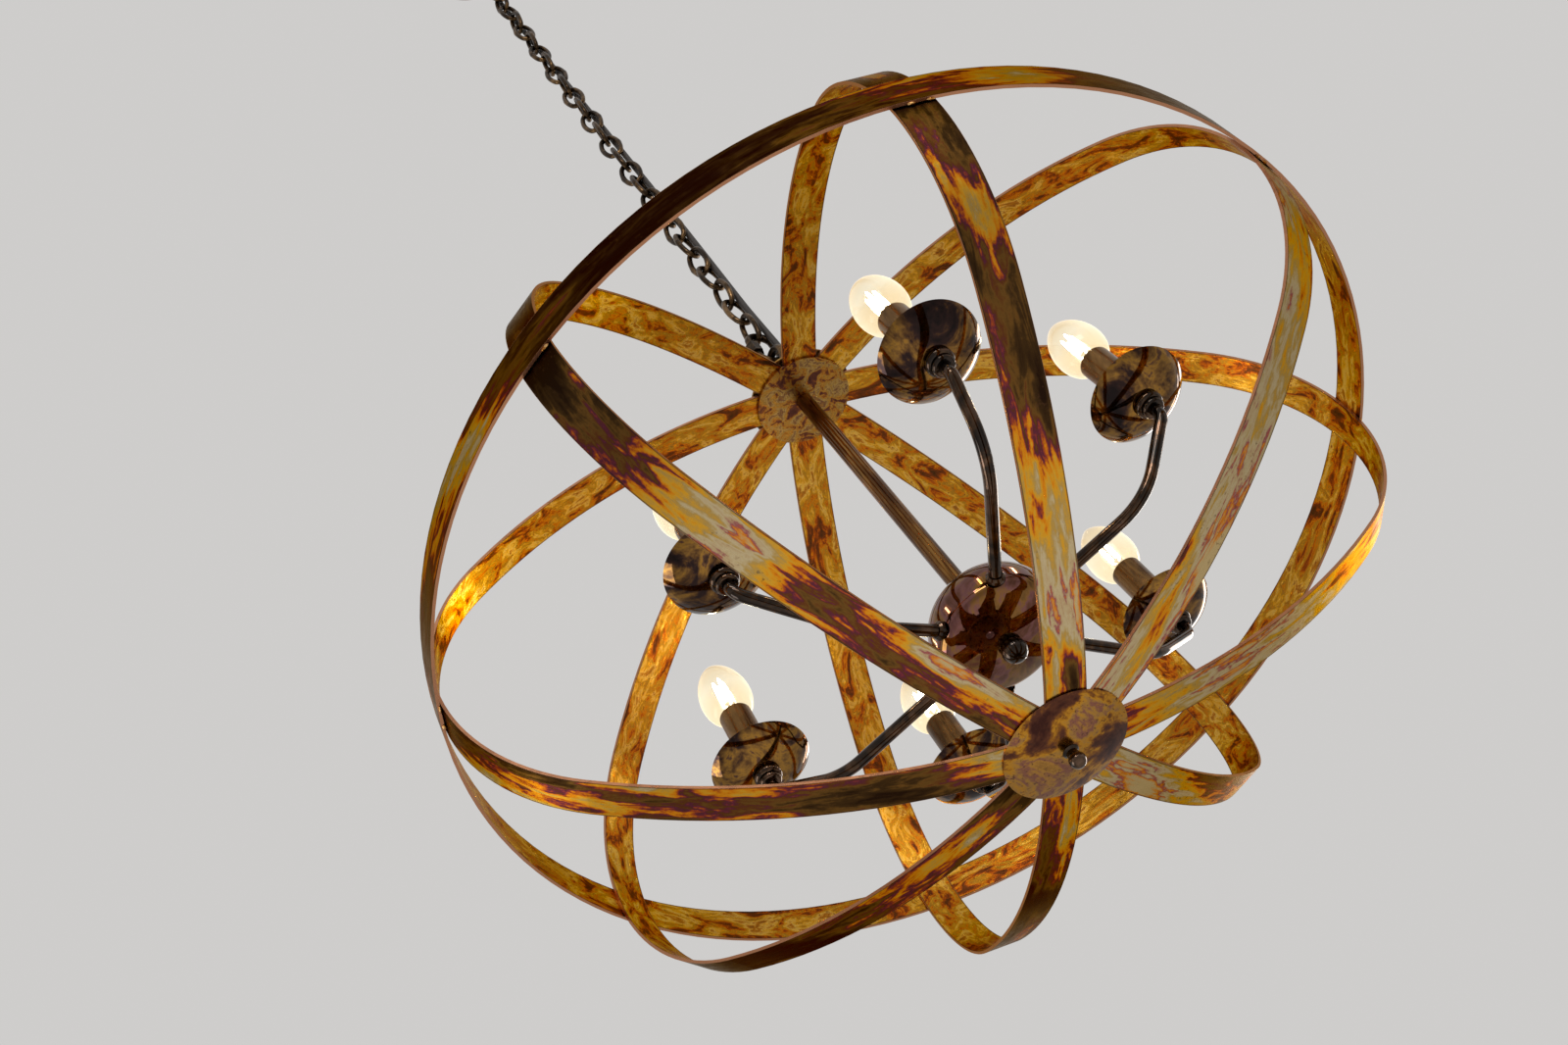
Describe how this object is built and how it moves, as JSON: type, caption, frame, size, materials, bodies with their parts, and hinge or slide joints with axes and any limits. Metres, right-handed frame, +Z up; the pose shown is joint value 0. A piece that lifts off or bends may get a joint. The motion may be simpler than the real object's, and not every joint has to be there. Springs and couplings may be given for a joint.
{
  "type": "orb chandelier",
  "caption": "Ceiling light: flattened orb of flame-coloured copper hoops round a candle cluster, hung on a chain from a ceiling cup.",
  "frame": {"origin": "centre between the two ceiling screw holes, in the ceiling plane", "axes": "+Z up, towards the ceiling; +X along the ceiling bracket, from one screw hole to the other"},
  "size_m": [0.6499, 0.65, 1.4433],
  "materials": {
    "torched_copper": "torched copper, satin",
    "polished_copper": "polished, flame coloured",
    "dark_bronze": "gloss, flame coloured",
    "dark_steel": "blackened, satin",
    "plated_steel": "zinc plated",
    "cable_jacket": "smooth",
    "white_plastic": "smooth",
    "bulb_glass": "frosted, lit"
  },
  "bodies": {
    "ceiling": {"ceiling_bracket": "plated_steel", "bracket_nipple": "plated_steel", "bracket_locknuts": "plated_steel", "ceiling_cup": "dark_steel", "collar_ring": "dark_steel", "ceiling_loop": "dark_steel", "terminal_block": "white_plastic", "cable_top_tail": "cable_jacket"},
    "top_link": {"top_link": "dark_steel"},
    "chain": {"chain_links": "dark_steel", "supply_cable": "cable_jacket"},
    "quick_link": {"quick_link": "dark_steel"},
    "quick_link_nut": {"quick_link_nut": "dark_steel"},
    "orb": {"hub_loop": "dark_steel", "cluster_locknuts": "plated_steel", "cluster_nipples": "plated_steel", "bottom_bolt": "plated_steel", "cable_bottom_tail": "cable_jacket", "inner_wires": "cable_jacket", "junction_block": "white_plastic", "lampholders": "white_plastic", "half_hoop_1": "torched_copper", "half_hoop_2": "torched_copper", "half_hoop_3": "torched_copper", "half_hoop_4": "torched_copper", "half_hoop_5": "torched_copper", "half_hoop_6": "torched_copper", "half_hoop_7": "torched_copper", "half_hoop_8": "torched_copper", "equator_band": "torched_copper", "top_disc_outer": "torched_copper", "top_disc_inner": "torched_copper", "bottom_disc_inner": "torched_copper", "bottom_disc_outer": "torched_copper", "body_top_shell": "polished_copper", "body_bottom_shell": "polished_copper", "candle_dish_1": "dark_bronze", "candle_dish_2": "dark_bronze", "candle_dish_3": "dark_bronze", "candle_dish_4": "dark_bronze", "candle_dish_5": "dark_bronze", "candle_dish_6": "dark_bronze", "arm_1": "dark_bronze", "arm_2": "dark_bronze", "arm_3": "dark_bronze", "arm_4": "dark_bronze", "arm_5": "dark_bronze", "arm_6": "dark_bronze", "stem_tube": "dark_bronze", "body_finial": "dark_bronze", "arm_ferrules": "dark_bronze", "dish_collars": "dark_bronze", "candle_sleeves": "dark_bronze", "bottom_knob": "dark_bronze"},
    "bulb_1": {"bulb_1": "bulb_glass"},
    "bulb_2": {"bulb_2": "bulb_glass"},
    "bulb_3": {"bulb_3": "bulb_glass"},
    "bulb_4": {"bulb_4": "bulb_glass"},
    "bulb_5": {"bulb_5": "bulb_glass"},
    "bulb_6": {"bulb_6": "bulb_glass"}
  },
  "joints": [
    {"name": "top_link_swing", "type": "hinge", "parent": "ceiling", "child": "top_link", "pos_m": [0, 0, -0.06465], "axis": [-0.9796, 0.2011, 0], "range_deg": [-40, 40], "deforming": ["cable_top_tail"]},
    {"name": "chain_swing", "type": "hinge", "parent": "top_link", "child": "chain", "pos_m": [0, 0, -0.0939], "axis": [0.2011, 0.9796, 0], "range_deg": [-40, 40]},
    {"name": "quick_link_swing", "type": "hinge", "parent": "chain", "child": "quick_link", "pos_m": [0, 0, -0.9339], "axis": [0.8942, -0.4478, 0], "range_deg": [-40, 40]},
    {"name": "orb_swing", "type": "hinge", "parent": "quick_link", "child": "orb", "pos_m": [0, 0, -0.96635], "axis": [0.4478, 0.8942, 0], "range_deg": [-40, 40], "deforming": ["cable_bottom_tail"]},
    {"name": "quick_link_nut_travel", "type": "slide", "parent": "quick_link", "child": "quick_link_nut", "axis": [0, 0, 1], "range_m": [0, 0.005]},
    {"name": "bulb_1_unscrew", "type": "slide", "parent": "orb", "child": "bulb_1", "axis": [-0.0613, 0.0499, 0.9969], "range_m": [0, 0.025]},
    {"name": "bulb_2_unscrew", "type": "slide", "parent": "orb", "child": "bulb_2", "axis": [-0.0719, 0.0196, 0.9972], "range_m": [0, 0.025]},
    {"name": "bulb_3_unscrew", "type": "slide", "parent": "orb", "child": "bulb_3", "axis": [-0.0494, -0.0066, 0.9988], "range_m": [0, 0.025]},
    {"name": "bulb_4_unscrew", "type": "slide", "parent": "orb", "child": "bulb_4", "axis": [-0.0166, 0.0006, 0.9999], "range_m": [0, 0.025]},
    {"name": "bulb_5_unscrew", "type": "slide", "parent": "orb", "child": "bulb_5", "axis": [-0.0064, 0.0318, 0.9995], "range_m": [0, 0.025]},
    {"name": "bulb_6_unscrew", "type": "slide", "parent": "orb", "child": "bulb_6", "axis": [-0.0268, 0.0561, 0.9981], "range_m": [0, 0.025]}
  ]
}
